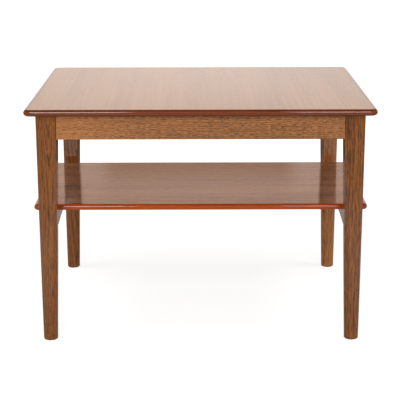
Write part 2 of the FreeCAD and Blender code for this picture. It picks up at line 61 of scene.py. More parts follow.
class SideTableLooks(bpy.types.PropertyGroup):
    """Colours and sizes of the finishes and the studio."""

    top_pale: bpy.props.FloatVectorProperty(
        name="Top Pale", description="Pale streaks of the top's veneer", subtype="COLOR",
        default=(0.42, 0.18, 0.065), min=0, max=1)
    top_dark: bpy.props.FloatVectorProperty(
        name="Top Dark", description="Dark streaks of the top's veneer", subtype="COLOR",
        default=(0.24, 0.09, 0.03), min=0, max=1)
    shelf_pale: bpy.props.FloatVectorProperty(
        name="Shelf Pale", description="Pale streaks of the shelf's veneer", subtype="COLOR",
        default=(0.42, 0.185, 0.085), min=0, max=1)
    shelf_dark: bpy.props.FloatVectorProperty(
        name="Shelf Dark", description="Dark streaks of the shelf's veneer", subtype="COLOR",
        default=(0.09, 0.03, 0.013), min=0, max=1)
    lipping_pale: bpy.props.FloatVectorProperty(
        name="Lipping Pale", description="Pale streaks of the top's lippings", subtype="COLOR",
        default=(0.185, 0.034, 0.004), min=0, max=1)
    lipping_dark: bpy.props.FloatVectorProperty(
        name="Lipping Dark", description="Dark streaks of the top's lippings", subtype="COLOR",
        default=(0.09, 0.011, 0.002), min=0, max=1)
    shelf_lipping_pale: bpy.props.FloatVectorProperty(
        name="Shelf Lipping Pale", description="Pale streaks of the shelf's lippings",
        subtype="COLOR", default=(0.44, 0.066, 0.002), min=0, max=1)
    shelf_lipping_dark: bpy.props.FloatVectorProperty(
        name="Shelf Lipping Dark", description="Dark streaks of the shelf's lippings",
        subtype="COLOR", default=(0.26, 0.028, 0.002), min=0, max=1)
    oak_pale: bpy.props.FloatVectorProperty(
        name="Oak Pale", description="Pale wood of the stained oak", subtype="COLOR",
        default=(0.475, 0.19, 0.064), min=0, max=1)
    oak_dark: bpy.props.FloatVectorProperty(
        name="Oak Dark", description="Dark growth rings of the stained oak", subtype="COLOR",
        default=(0.095, 0.04, 0.018), min=0, max=1)
    warm_oak_pale: bpy.props.FloatVectorProperty(
        name="Warm Oak Pale", description="Pale wood of the leg cut from a warmer board",
        subtype="COLOR", default=(0.54, 0.2, 0.055), min=0, max=1)
    leg_pale: bpy.props.FloatVectorProperty(
        name="Leg Pale", description="Pale wood of the legs, cut from a darker board",
        subtype="COLOR", default=(0.34, 0.107, 0.019), min=0, max=1)
    leg_dark: bpy.props.FloatVectorProperty(
        name="Leg Dark", description="Dark growth rings of the legs", subtype="COLOR",
        default=(0.058, 0.023, 0.0105), min=0, max=1)
    pine_pale: bpy.props.FloatVectorProperty(
        name="Pine Pale", description="Pale wood of the corner blocks", subtype="COLOR",
        default=(0.62, 0.42, 0.22), min=0, max=1)
    pine_dark: bpy.props.FloatVectorProperty(
        name="Pine Dark", description="Dark rings of the corner blocks", subtype="COLOR",
        default=(0.42, 0.22, 0.09), min=0, max=1)
    beech_pale: bpy.props.FloatVectorProperty(
        name="Beech Pale", description="Pale wood of the buttons", subtype="COLOR",
        default=(0.52, 0.33, 0.19), min=0, max=1)
    beech_dark: bpy.props.FloatVectorProperty(
        name="Beech Dark", description="Dark flecks of the buttons", subtype="COLOR",
        default=(0.36, 0.2, 0.11), min=0, max=1)
    steel: bpy.props.FloatVectorProperty(
        name="Steel", description="Bright zinc of the screws", subtype="COLOR",
        default=(0.56, 0.56, 0.58), min=0, max=1)
    floor: bpy.props.FloatVectorProperty(
        name="Floor", description="Pale floor of the studio", subtype="COLOR",
        default=(0.8, 0.8, 0.8), min=0, max=1)
    floor_size: bpy.props.FloatProperty(
        name="Floor Size", description="Side of the square floor", default=24.0, unit="LENGTH")
    camera_place: bpy.props.FloatVectorProperty(
        name="Camera Place", description="Where the camera stands", subtype="TRANSLATION",
        unit="LENGTH", default=(-0.0045, -2.8311, 1.0043))
    camera_pitch: bpy.props.FloatProperty(
        name="Camera Pitch", description="How far the camera looks down", subtype="ANGLE",
        default=math.radians(14.92))
    camera_yaw: bpy.props.FloatProperty(
        name="Camera Yaw", description="How far the camera turns to the right", subtype="ANGLE",
        default=math.radians(0.066))
    camera_roll: bpy.props.FloatProperty(
        name="Camera Roll", description="How far the camera tips about its own line of sight",
        subtype="ANGLE", default=math.radians(-0.126))
    camera_lens: bpy.props.FloatProperty(
        name="Camera Lens", description="Focal length on a 36 mm sensor", default=110.05,
        unit="CAMERA")


def settings():
    """The looks that the operators read."""
    return bpy.context.scene.side_table


# -------------------------------------------------------------------------------------------------
# Node trees

# The places of the colour sockets in a mix node.
MIX_FACTOR, MIX_FIRST, MIX_SECOND, MIX_RESULT = 0, 6, 7, 2
MIDDLE = 0.5


def colour(rgb, level=1.0):
    """An opaque colour from three parts."""
    return (rgb[0] * level, rgb[1] * level, rgb[2] * level, 1.0)


WHITE = colour((1, 1, 1))


class Nodes:
    """Adds nodes to one tree and links them."""

    def __init__(self, tree):
        self.tree = tree

    def feed(self, socket, value):
        """Set a socket to a value, or link it to the socket that feeds it."""
        if isinstance(value, bpy.types.NodeSocket):
            self.tree.links.new(value, socket)
        else:
            socket.default_value = value

    def add(self, kind, inputs=None, **choices):
        """A node of a kind; each input is a value, or the socket that feeds it."""
        node = self.tree.nodes.new(kind)
        for name, value in choices.items():
            setattr(node, name, value)
        for key, value in (inputs or {}).items():
            self.feed(node.inputs[key], value)
        return node

    def math(self, operation, first, second=0.0, clamp=False):
        """The result of one sum on one or two numbers."""
        node = self.add(
            "ShaderNodeMath", {0: first, 1: second}, operation=operation, use_clamp=clamp)
        return node.outputs[0]

    def plus(self, *values):
        """The values added up, from the first to the last."""
        total, *others = values
        for value in others:
            total = self.math("ADD", total, value)
        return total

    def times(self, first, second):
        """Two values multiplied."""
        return self.math("MULTIPLY", first, second)

    def centred(self, mark, amount):
        """A mark from 0 to 1 made to swing about 0 by an amount."""
        return self.times(self.math("SUBTRACT", mark, MIDDLE), amount)

    def mix(self, factor, first, second):
        """Two colours mixed."""
        inputs = {MIX_FACTOR: factor, MIX_FIRST: first, MIX_SECOND: second}
        return self.add("ShaderNodeMix", inputs, data_type="RGBA").outputs[MIX_RESULT]

    def either(self, factor, first, second):
        """The first of two shaders where the factor is 0, and the second where it is 1."""
        inputs = {0: factor, 1: first, 2: second}
        return self.add("ShaderNodeMixShader", inputs).outputs[0]

    def ramp(self, factor, stops):
        """A value or colour looked up between (place, level) stops."""
        node = self.add("ShaderNodeValToRGB", {0: factor})
        elements = node.color_ramp.elements
        while len(elements) < len(stops):
            elements.new(MIDDLE)
        for element, (place, level) in zip(elements, stops):
            element.position = place
            element.color = colour(level if isinstance(level, tuple) else (level,) * 3)
        return node.outputs[0]

    def noise(self, vector, scale, detail, roughness):
        """A smooth random value from 0 to 1."""
        inputs = {"Vector": vector, "Scale": scale, "Detail": detail, "Roughness": roughness}
        return self.add("ShaderNodeTexNoise", inputs).outputs[0]

    def grain_noise(self, grain, lengthwise, crosswise, detail, roughness):
        """A smooth random value, drawn out along the grain."""
        scales = (lengthwise, crosswise, crosswise)
        parts = [self.times(part, scale) for part, scale in zip(grain, scales)]
        vector = self.add("ShaderNodeCombineXYZ", dict(enumerate(parts))).outputs[0]
        return self.noise(vector, 1.0, detail, roughness)


def new_material(name):
    """An empty material."""
    material = bpy.data.materials.new(name)
    material.use_nodes = True
    material.node_tree.nodes.clear()
    return material


# -------------------------------------------------------------------------------------------------
# Timber

# How the grain of a piece runs. Each is the order in which the piece's own X, Y and Z are read as
# along the grain, across it and through it.
ALONG_X_FLAT = "XYZ"
ALONG_X_UPRIGHT = "XZY"
ALONG_Y_FLAT = "YXZ"
ALONG_Y_UPRIGHT = "YZX"
ALONG_Z = "ZXY"

# How a piece is marked when nothing else is said.
USUAL_MARKS = {
    "base": 0.25,  # how dark the wood is as a whole
    "rings": 0.2,  # the next six say how strong each kind of mark is
    "tone": 0.7,
    "streak": 0.8,
    "fleck": 1.6,
    "fibre": 0.7,
    "pores": 0.4,
    "uneven": 2.2,  # how unevenly the years are spaced
    "run": 9.0,  # changes of the streaks in a metre along the grain
    "fineness": 260.0,  # and across it
    "dash": (60.0, 620.0),  # the same two for the flecks
    "sway": 0.01,  # how far the grain wanders sideways
    "bow": 0.0,  # how much it bends
    "straight": 0.0,  # and where along the piece it is straight
    "drift": 0.0,  # darkening along the piece, by the metre
    "fade": 0.0,  # and by the metre squared
    "lean": 0.0,  # darkening across the piece, by the metre
    "gather": 0.0,  # how much shade is painted on the wood just under the top
    "relief": 0.0002,  # how deep the marks are
}

# The noises behind the marks: changes in a metre along and across the grain, layers of finer
# detail, and how strong those are. The streaks' and flecks' own changes come from the cut.
SWAY_NOISE = (5.0, 14.0, 2.0, 0.5)
UNEVEN_NOISE = (1.5, 60.0, 1.0, 0.5)
TONE_NOISE = (2.0, 18.0, 2.0, 0.5)
FIBRE_NOISE = (35.0, 2600.0, 2.0, 0.6)
PORE_NOISE = (70.0, 1300.0, 1.0, 0.5)
STREAK_DETAIL = (4.0, 0.65)
FLECK_DETAIL = (3.0, 0.7)

# How dark the wood is through one year's growth, where the noise of the pores opens one, and how
# strong the pores are in the pale wood.
YEAR = [(0.0, 1.0), (0.2, 0.8), (0.4, 0.1), (0.8, 0.0), (1.0, 1.0)]
PORE_EDGE = [(0.56, 0.0), (0.66, 1.0)]
PORES_IN_PALE_WOOD = 0.25
# How much the flecks break up the growth rings.
RING_BREAKS = 2.0
# Where shade is painted in the corner under the top, by height in metres: along the top edges of
# the aprons and legs, and along the lower edge of the top's lippings.
PAINTED_SHADE_BY_HEIGHT = [
    (0.0, 0.0), (0.5072, 0.0), (0.5092, 1.0), (0.512, 1.0), (0.5145, 0.0), (1.0, 0.0)]

# How far each mark stands out of the surface, as a share of the relief.
PORE_RELIEF = -1.0
FLECK_RELIEF = -0.35
FIBRE_RELIEF = -0.3
RELIEF_STRENGTH = 0.6
PORE_DULLNESS = 0.12
WOOD_IOR = 1.5

# The finishes: roughness and shine of the wood, then weight and roughness of the lacquer, and how
# far the pores stay open in it.
TEAK_LACQUER = {"wood": 0.5, "sheen": 0.05, "coat": 1.0, "coat_roughness": 0.09, "open": 0.0}
EDGE_LACQUER = {"wood": 0.5, "sheen": 0.05, "coat": 1.0, "coat_roughness": 0.03, "open": 0.0}
OAK_LACQUER = {"wood": 0.5, "sheen": 0.15, "coat": 0.8, "coat_roughness": 0.08, "open": 0.25}
BARE_WOOD = {"wood": 0.7, "sheen": 0.3, "coat": 0.0, "coat_roughness": 0.3, "open": 0.0}


def cut_of(heart, tilt, ring, **marks):
    """How a piece was cut from its tree.

    heart is the place of the tree's heart, tilt the slope of the grain, ring the width of a year,
    and marks the ones that differ from the usual.
    """
    return {"heart": heart, "tilt": tilt, "ring": ring, **USUAL_MARKS, **marks}


def grain_space(nodes, axes, order, cut):
    """Along, across and through the grain, measured from the heart of the tree."""
    turned = nodes.add("ShaderNodeCombineXYZ", {i: axes[axis] for i, axis in enumerate(order)})
    shifted = nodes.add("ShaderNodeMapping", {
        "Vector": turned.outputs[0], "Location": cut["heart"], "Rotation": (0, *cut["tilt"])})
    parts = nodes.add("ShaderNodeSeparateXYZ", {0: shifted.outputs[0]}).outputs
    return [parts[axis] for axis in "XYZ"]


def bent_grain(nodes, grain, cut):
    """The grain with its wandering to the side and its bow."""
    along, across, through = grain
    sway = nodes.centred(nodes.grain_noise(grain, *SWAY_NOISE), cut["sway"])
    rise = nodes.math("SUBTRACT", along, cut["straight"])
    bow = nodes.times(nodes.times(rise, rise), cut["bow"])
    return along, nodes.plus(across, sway), nodes.plus(through, bow)


def growth_rings(nodes, grain, cut):
    """How dark the wood is by the place within its year, from 0 to 1."""
    _, across, through = grain
    radius = nodes.math(
        "SQRT", nodes.plus(nodes.times(across, across), nodes.times(through, through)))
    uneven = nodes.times(nodes.grain_noise(grain, *UNEVEN_NOISE), cut["uneven"])
    years = nodes.plus(nodes.math("DIVIDE", radius, cut["ring"]), uneven)
    return nodes.ramp(nodes.math("FRACT", years), YEAR)


def open_pores(nodes, grain, rings):
    """The pores, most of them in the dark wood of each year, from 0 to 1."""
    pores = nodes.ramp(nodes.grain_noise(grain, *PORE_NOISE), PORE_EDGE)
    share = nodes.plus(nodes.times(rings, 1.0 - PORES_IN_PALE_WOOD), PORES_IN_PALE_WOOD)
    return nodes.times(pores, share)


def board_change(nodes, along, cut):
    """How the wood darkens along the piece."""
    from_middle = nodes.math("SUBTRACT", along, cut["heart"][0])
    return nodes.times(from_middle, nodes.plus(nodes.times(from_middle, cut["fade"]), cut["drift"]))


def wood_material(name, order, pale, dark, cut, finish):
    """A timber with growth rings, streaks, flecks, fibres and pores under a finish."""
    material = new_material(name)
    nodes = Nodes(material.node_tree)
    place = nodes.add("ShaderNodeTexCoord").outputs["Object"]
    axes = nodes.add("ShaderNodeSeparateXYZ", {0: place}).outputs
    grain = bent_grain(nodes, grain_space(nodes, axes, order, cut), cut)
    along, across, _ = grain

    rings = growth_rings(nodes, grain, cut)
    pores = open_pores(nodes, grain, rings)
    fleck = nodes.grain_noise(grain, *cut["dash"], *FLECK_DETAIL)
    fibre = nodes.grain_noise(grain, *FIBRE_NOISE)
    marks = {
        "tone": nodes.grain_noise(grain, *TONE_NOISE),
        "streak": nodes.grain_noise(grain, cut["run"], cut["fineness"], *STREAK_DETAIL),
        "fleck": fleck,
        "fibre": fibre,
    }
    broken_rings = nodes.times(rings, nodes.plus(nodes.centred(fleck, RING_BREAKS), 1.0))
    shade = nodes.plus(
        nodes.times(broken_rings, cut["rings"]),
        *(nodes.centred(mark, cut[kind]) for kind, mark in marks.items()),
        nodes.times(pores, cut["pores"]),
        board_change(nodes, along, cut),
        nodes.times(across, cut["lean"]),
        # painted shade in the corner under the top
        nodes.times(nodes.ramp(axes["Z"], PAINTED_SHADE_BY_HEIGHT), cut["gather"]))
    shade = nodes.math("ADD", shade, cut["base"], clamp=True)

    relief = nodes.plus(nodes.times(pores, PORE_RELIEF), nodes.times(fleck, FLECK_RELIEF))
    bump = nodes.add("ShaderNodeBump", {
        "Height": relief, "Distance": cut["relief"], "Strength": RELIEF_STRENGTH})
    dull = nodes.math("ADD", nodes.times(pores, PORE_DULLNESS), finish["wood"], clamp=True)
    shader = nodes.add("ShaderNodeBsdfPrincipled", {
        "Base Color": nodes.mix(shade, colour(pale), colour(dark)),
        "Roughness": dull,
        "Specular IOR Level": finish["sheen"],
        "Normal": bump.outputs[0],
        "Coat Weight": finish["coat"],
        "Coat Roughness": finish["coat_roughness"],
        "IOR": WOOD_IOR,
    })
    if finish["open"]:
        filled = nodes.add("ShaderNodeBump", {
            "Height": nodes.plus(relief, nodes.times(fibre, FIBRE_RELIEF)),
            "Distance": cut["relief"], "Strength": finish["open"]})
        nodes.feed(shader.inputs["Coat Normal"], filled.outputs[0])
    nodes.add("ShaderNodeOutputMaterial", {"Surface": shader.outputs[0]})
    return material


def dress(node, material):
    """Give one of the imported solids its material."""
    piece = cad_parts[node]
    for material_slot in piece.material_slots:
        material_slot.material = material


# -------------------------------------------------------------------------------------------------
# Wooden pieces

SIDES = (
    ("front", ALONG_X_FLAT),
    ("right", ALONG_Y_FLAT),
    ("back", ALONG_X_FLAT),
    ("left", ALONG_Y_FLAT),
)

TOP_CUT = cut_of(
    (0.0, 0.03, 0.09), (0.0, 0.012), 0.006, base=0.2, rings=0.12, tone=1.6, streak=1.0, fleck=0.35,
    pores=0.05, relief=0.00002, lean=0.5, run=2.0, fineness=150.0, uneven=0.8, sway=0.004)
SHELF_CUT = cut_of(
    (0.0, 0.05, 0.12), (0.0, 0.01), 0.006, rings=0.3, tone=1.2, streak=1.7, fleck=1.7,
    relief=0.00012)

# The lippings of the top and of the shelf are cut one after another from their strips. For each:
# where along the strip the first one starts, and how far the tree's heart was across and through.
TOP_STRIP = (0.0, 0.012, 0.05)
SHELF_STRIP = (0.7, 0.014, 0.06)
LIPPING_STEP = 0.4
LIPPING_TILT = (0.0, 0.008)
LIPPING_RING = 0.004
LIPPING_MARKS = {"rings": 0.3, "fleck": 0.8}
# How much shade is painted on the lower edge of the top's lippings.
TOP_LIPPING_PAINTED_SHADE = 0.8

# Each leg: its corner, whether its board was a warm or a dark one, and its cut.
# Each leg gets a little painted shade at its top, under the top.
LEG_CUTS = (
    ("front_left", "dark", cut_of(
        (0.1, 0.325, 0.292), (0.01, 0.0), 0.0035, base=0.35, rings=0.35, bow=-0.2, straight=0.42,
        uneven=0.6, sway=0.004, tone=0.5, run=4.0, fineness=420.0, streak=0.8, fleck=1.9,
        dash=(40.0, 850.0), gather=0.3)),
    ("front_right", "dark", cut_of(
        (0.9, -0.25, 0.24), (0.0, 0.01), 0.006, base=0.48, rings=0.25, drift=0.06, run=4.0,
        fineness=480.0, streak=1.1, fleck=3.0, dash=(35.0, 750.0), gather=0.3)),
    ("back_right", "warm", cut_of(
        (1.7, -0.27, -0.16), (0.0, 0.02), 0.005, base=0.15, rings=0.25, run=4.0, streak=1.2,
        gather=0.3)),
    ("back_left", "dark", cut_of(
        (2.6, 0.27, -0.17), (0.01, 0.01), 0.005, base=0.22, rings=0.4, run=4.0, streak=1.2,
        gather=0.3)),
)

# Each apron and rail: how its grain runs, and where the heart of its tree was.
FRAME_BOARDS = (
    ("apron_front", ALONG_X_UPRIGHT, (0.0, -0.42, 0.30)),
    ("apron_right", ALONG_Y_UPRIGHT, (0.5, -0.44, -0.28)),
    ("apron_back", ALONG_X_UPRIGHT, (1.1, -0.43, -0.2)),
    ("apron_left", ALONG_Y_UPRIGHT, (1.6, -0.45, 0.42)),
    ("shelf_rail_left", ALONG_Y_UPRIGHT, (2.1, -0.2, 0.4)),
    ("shelf_rail_right", ALONG_Y_UPRIGHT, (2.7, -0.22, -0.26)),
)
FRAME_TILT = (0.0, 0.01)
FRAME_RING = 0.004
# The aprons get painted shade along their top edges, under the top.
FRAME_MARKS = {
    "base": 0.345, "drift": 0.24, "fade": -1.6, "fleck": 4.0, "streak": 0.9, "gather": 1.3,
    "dash": (90.0, 850.0)}

PINE_CUT = cut_of((0.2, 0.05, 0.03), (0.0, 0.02), 0.005, pores=0.0, rings=0.8)
BEECH_CUT = cut_of((0.2, 0.05, 0.03), (0.0, 0.02), 0.004, pores=0.5, rings=0.2)


def dress_lippings(board, strip, pale, dark, **marks):
    """Finish the four lippings of the top or of the shelf."""
    start, across, through = strip
    for index, (side, order) in enumerate(SIDES):
        heart = (start + LIPPING_STEP * index, across, through)
        cut = cut_of(heart, LIPPING_TILT, LIPPING_RING, **LIPPING_MARKS, **marks)
        timber = wood_material(f"{board} lipping {side}", order, pale, dark, cut, EDGE_LACQUER)
        dress(f"{board.lower()}_lipping_{side}", timber)


class SIDETABLE_OT_top(bpy.types.Operator):
    """Finish the top's veneered board and its four lippings"""

    bl_idname = "side_table.top"
    bl_label = "Top"

    def execute(self, context):
        looks = settings()
        board = wood_material(
            "Top veneer", ALONG_Y_FLAT, looks.top_pale, looks.top_dark, TOP_CUT, TEAK_LACQUER)
        dress("top_panel", board)
        dress_lippings(
            "Top", TOP_STRIP, looks.lipping_pale, looks.lipping_dark, gather=TOP_LIPPING_PAINTED_SHADE)
        return {"FINISHED"}


class SIDETABLE_OT_shelf(bpy.types.Operator):
    """Finish the shelf's veneered board and its four lippings"""

    bl_idname = "side_table.shelf"
    bl_label = "Shelf"

    def execute(self, context):
        looks = settings()
        board = wood_material(
            "Shelf veneer", ALONG_X_FLAT, looks.shelf_pale, looks.shelf_dark, SHELF_CUT,
            TEAK_LACQUER)
        dress("shelf_board", board)
        dress_lippings("Shelf", SHELF_STRIP, looks.shelf_lipping_pale, looks.shelf_lipping_dark)
        return {"FINISHED"}


class SIDETABLE_OT_legs(bpy.types.Operator):
    """Finish the four tapered legs"""

    bl_idname = "side_table.legs"
    bl_label = "Legs"

    def execute(self, context):
        looks = settings()
        boards = {
            "dark": (looks.leg_pale, looks.leg_dark),
            "warm": (looks.warm_oak_pale, looks.oak_dark),
        }
        for corner, board, cut in LEG_CUTS:
            timber = wood_material(f"Leg {corner}", ALONG_Z, *boards[board], cut, OAK_LACQUER)
            dress(f"leg_{corner}", timber)
        return {"FINISHED"}


class SIDETABLE_OT_aprons_and_rails(bpy.types.Operator):
    """Finish the four aprons and the two shelf rails"""

    bl_idname = "side_table.aprons_and_rails"
    bl_label = "Aprons and Rails"

    def execute(self, context):
        looks = settings()
        for node, order, heart in FRAME_BOARDS:
            cut = cut_of(heart, FRAME_TILT, FRAME_RING, **FRAME_MARKS)
            timber = wood_material(
                f"Oak {node}", order, looks.oak_pale, looks.oak_dark, cut, OAK_LACQUER)
            dress(node, timber)
        return {"FINISHED"}


class SIDETABLE_OT_fittings(bpy.types.Operator):
    """Finish the corner blocks and the buttons"""

    bl_idname = "side_table.fittings"
    bl_label = "Fittings"

    def execute(self, context):
        looks = settings()
        pine = wood_material(
            "Corner block pine", ALONG_X_UPRIGHT, looks.pine_pale, looks.pine_dark, PINE_CUT,
            BARE_WOOD)
        beech = wood_material(
            "Button beech", ALONG_X_FLAT, looks.beech_pale, looks.beech_dark, BEECH_CUT, BARE_WOOD)
        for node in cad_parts:
            if node.startswith("corner_block"):
                dress(node, pine)
            elif node.startswith("top_button"):
                dress(node, beech)
        return {"FINISHED"}


# -------------------------------------------------------------------------------------------------
# Screws

SCREW_NODES = ("button_screws", "shelf_screws")
# How far apart the two buttons on a long apron are.
BUTTON_SPACING = 0.3

HEAD_RADIUS = 0.004
HEAD_HEIGHT = 0.0024
HEAD_SIDES = 24
HEAD_ROUNDING = 0.0014
ROUNDING_STEPS = 4
SHANK_RADIUS = 0.002
CORE_RADIUS = 0.0014
SHOULDER = SHANK_RADIUS - CORE_RADIUS
PLAIN_SHANK = 0.01
SCREW_LENGTH = 0.03
TIP_LENGTH = 0.005
# The width of the very tip, as a share of the core.
TIP_SHARE = 0.12
THREAD_PITCH = 0.0016
THREAD_STEPS = 12
RIDGE_SIDES = 3
# Length and width of one bar of the cross recess, and its depth.
RECESS_BAR = (0.0042, 0.0009)
RECESS_DEPTH = 0.0014
# How squarely a face has to look up or down to be the head's flat top or underside.
FLAT = 0.9
SMOOTH_ANGLE = math.radians(40)

# The zinc's clouds: how many in a metre, layers of finer detail and how strong those are, how dark
# and how bright they make it, and how dull.
ZINC_NOISE = (900.0, 3.0, 0.6)
ZINC_DARK, ZINC_BRIGHT = 0.8, 1.15
ZINC_DULLNESS = [(0.3, 0.24), (0.7, 0.42)]
ZINC_RELIEF = 0.00003
ZINC_RELIEF_STRENGTH = 0.5


def zinc_material(looks):
    """Bright zinc plate, a little cloudy and scuffed."""
    material = new_material("Zinc plate")
    nodes = Nodes(material.node_tree)
    cloud = nodes.noise(nodes.add("ShaderNodeTexCoord").outputs["Object"], *ZINC_NOISE)
    bump = nodes.add("ShaderNodeBump", {
        "Height": cloud, "Distance": ZINC_RELIEF, "Strength": ZINC_RELIEF_STRENGTH})
    shader = nodes.add("ShaderNodeBsdfPrincipled", {
        "Base Color": nodes.mix(
            cloud, colour(looks.steel, ZINC_DARK), colour(looks.steel, ZINC_BRIGHT)),
        "Metallic": 1.0,
        "Roughness": nodes.ramp(cloud, ZINC_DULLNESS),
        "Normal": bump.outputs[0],
    })
    nodes.add("ShaderNodeOutputMaterial", {"Surface": shader.outputs[0]})
    return material


def select_faces(piece, wanted):
    """Select only the faces that pass a test, in edit mode."""
    bpy.ops.mesh.select_mode(type="FACE")
    bpy.ops.mesh.select_all(action="DESELECT")
    bpy.ops.object.mode_set(mode="OBJECT")
    for face in piece.data.polygons:
        face.select = wanted(face)
    bpy.ops.object.mode_set(mode="EDIT")


def raise_end(height, share=1.0):
    """Draw the selected end face out along the screw, and narrow it to a share of its width."""
    bpy.ops.mesh.extrude_region_move(TRANSFORM_OT_translate={"value": (0, 0, height)})
    if share != 1.0:
        bpy.ops.transform.resize(value=(share, share, 1))


def apply_modifiers(piece):
    """Apply all of a piece's modifiers."""
    for modifier in list(piece.modifiers):
        bpy.ops.object.modifier_apply(modifier=modifier.name)


def model_blank():
    """The screw without its recess and thread, with the seat of its head at the origin."""
    bpy.ops.mesh.primitive_cylinder_add(
        vertices=HEAD_SIDES, radius=HEAD_RADIUS, depth=HEAD_HEIGHT,
        location=(0, 0, -HEAD_HEIGHT / 2))
    blank = bpy.context.object
    bpy.ops.object.transform_apply(location=True, rotation=True, scale=True)
    bpy.ops.object.mode_set(mode="EDIT")
    select_faces(blank, lambda face: face.normal.z < -FLAT)
    bpy.ops.mesh.bevel(offset=HEAD_ROUNDING, segments=ROUNDING_STEPS, affect="EDGES")
    select_faces(blank, lambda face: face.normal.z > FLAT)
    bpy.ops.mesh.inset(thickness=HEAD_RADIUS - SHANK_RADIUS)
    raise_end(PLAIN_SHANK)
    raise_end(SHOULDER, CORE_RADIUS / SHANK_RADIUS)
    raise_end(SCREW_LENGTH - PLAIN_SHANK - SHOULDER - TIP_LENGTH)
    raise_end(TIP_LENGTH, TIP_SHARE)
    bpy.ops.object.mode_set(mode="OBJECT")
    return blank


def cut_recess(screw):
    """Cut the cross recess into the screw's head."""
    bars = []
    for bar in (RECESS_BAR, RECESS_BAR[::-1]):
        bpy.ops.mesh.primitive_cube_add(
            size=1, location=(0, 0, -HEAD_HEIGHT), scale=(*bar, RECESS_DEPTH * 2))
        bars.append(bpy.context.object)
    bpy.ops.object.select_all(action="DESELECT")
    bpy.context.view_layer.objects.active = screw
    for bar in bars:
        recess = screw.modifiers.new("recess", "BOOLEAN")
        recess.operation = "DIFFERENCE"
        recess.object = bar
    apply_modifiers(screw)
    for bar in bars:
        bpy.data.objects.remove(bar)


def model_thread():
    """The screw's thread, a ridge that winds up its core."""
    low = PLAIN_SHANK + 2 * THREAD_PITCH
    high = SCREW_LENGTH - TIP_LENGTH
    bpy.ops.mesh.primitive_circle_add(
        vertices=RIDGE_SIDES, radius=SHOULDER, location=(CORE_RADIUS + SHOULDER / 2, 0, low),
        rotation=(math.pi / 2, 0, math.pi / 2))
    ridge = bpy.context.object
    bpy.ops.object.transform_apply(location=True, rotation=True, scale=True)
    turns = ridge.modifiers.new("turns", "SCREW")
    turns.screw_offset = THREAD_PITCH
    turns.iterations = round((high - low) / THREAD_PITCH)
    turns.steps = turns.render_steps = THREAD_STEPS
    apply_modifiers(ridge)
    bpy.ops.object.mode_set(mode="EDIT")
    bpy.ops.mesh.select_all(action="SELECT")
    bpy.ops.mesh.fill_holes(sides=RIDGE_SIDES)
    bpy.ops.mesh.normals_make_consistent(inside=False)
    bpy.ops.object.mode_set(mode="OBJECT")
    return ridge


def model_screw(looks):
    """One pan head wood screw with a cross recess, pointing up from the origin."""
    bpy.ops.object.select_all(action="DESELECT")
    screw = model_blank()
    cut_recess(screw)
    ridge = model_thread()
    bpy.ops.object.select_all(action="DESELECT")
    ridge.select_set(True)
    screw.select_set(True)
    bpy.context.view_layer.objects.active = screw
    bpy.ops.object.join()
    bpy.ops.object.shade_smooth_by_angle(angle=SMOOTH_ANGLE)
    screw.data.materials.clear()
    screw.data.materials.append(zinc_material(looks))
    return screw


class SIDETABLE_OT_screws(bpy.types.Operator):
    """Model the wood screws that hold the top's buttons and the shelf"""

    bl_idname = "side_table.screws"
    bl_label = "Screws"

    def execute(self, context):
        pattern = model_screw(settings())
        for node in SCREW_NODES:
            low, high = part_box(node)
            left, right = low.x + HEAD_RADIUS, high.x - HEAD_RADIUS
            near, far = low.y + HEAD_RADIUS, high.y - HEAD_RADIUS
            if node == "button_screws":
                half = BUTTON_SPACING / 2
                places = [(left, 0), (right, 0)]
                places += [(x, y) for x in (-half, half) for y in (near, far)]
            else:
                places = [(x, y) for x in (left, right) for y in (near, far)]
            for number, (x, y) in enumerate(places, 1):
                screw = pattern.copy()
                screw.data = pattern.data.copy()
                screw.name = f"{node[:-1]}_{number}"
                screw.data.transform(Matrix.Translation((x, y, low.z + HEAD_HEIGHT)))
                context.scene.collection.objects.link(screw)
                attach(screw, BODY)
                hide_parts(node)
        bpy.data.objects.remove(pattern)
        return {"FINISHED"}


# -------------------------------------------------------------------------------------------------
# Studio

SKY_LEVEL = 0.3
# How far over the floor its ramps reach; their stops are shares of that.
FLOOR_REACH = 4.0
# The floor's own glow, by the distance from the table: softer near it, so that its shadow shows.
FLOOR_GLOW = [(0.0, 0.76), (0.2, 0.76), (0.5, 1.0), (1.0, 1.0)]
# The floor's paint where it is looked at, under its glow.
SEEN_FLOOR = (0.5, 0.5, 0.5)
# What polished surfaces see of the floor, by the distance from the table.
FLOOR_MIRRORED = [
    (0.0, (0.45, 0.36, 0.27)),
    (0.12, (0.5, 0.42, 0.36)),
    (0.24, (0.9, 0.8, 0.75)),
    (0.36, (0.7, 0.58, 0.5)),
    (0.45, (0.5, 0.36, 0.22)),
    (1.0, (0.3, 0.2, 0.1)),
]
# How bright that is from front to back: dim behind the table.
FLOOR_FRONT_TO_BACK = [
    (0.0, 1.0), (0.45, 1.0), (0.6, 0.6), (0.74, 0.6), (0.8, 0.12), (1.0, 0.12)]
# What polished surfaces see of the surround, by the height of the direction. Behind the table it is
# white low down, with a dim warm ceiling above.
BACK_WALL = [
    (0.0, (1.23, 1.1, 1.0)),
    (0.165, (1.23, 1.1, 1.0)),
    (0.188, (1.18, 1.06, 0.97)),
    (0.21, (0.85, 0.57, 0.43)),
    (0.23, (0.9, 0.61, 0.47)),
    (0.243, (1.45, 1.05, 0.87)),
    (0.26, (0.84, 0.56, 0.43)),
    (0.32, (0.65, 0.44, 0.35)),
    (0.45, (0.13, 0.08, 0.05)),
    (1.0, (0.05, 0.04, 0.03)),
]
# A dimmer, warm panel in the back wall: its colour, and how strong it is from its middle out to
# the sides and by its height.
PANEL = (0.58, 0.25, 0.09)
PANEL_ACROSS = [(0.0, 1.0), (0.07, 1.0), (0.082, 0.0), (1.0, 0.0)]
PANEL_UP = [(0.0, 0.0), (0.2, 0.0), (0.21, 1.0), (0.235, 1.0), (0.241, 0.0), (1.0, 0.0)]
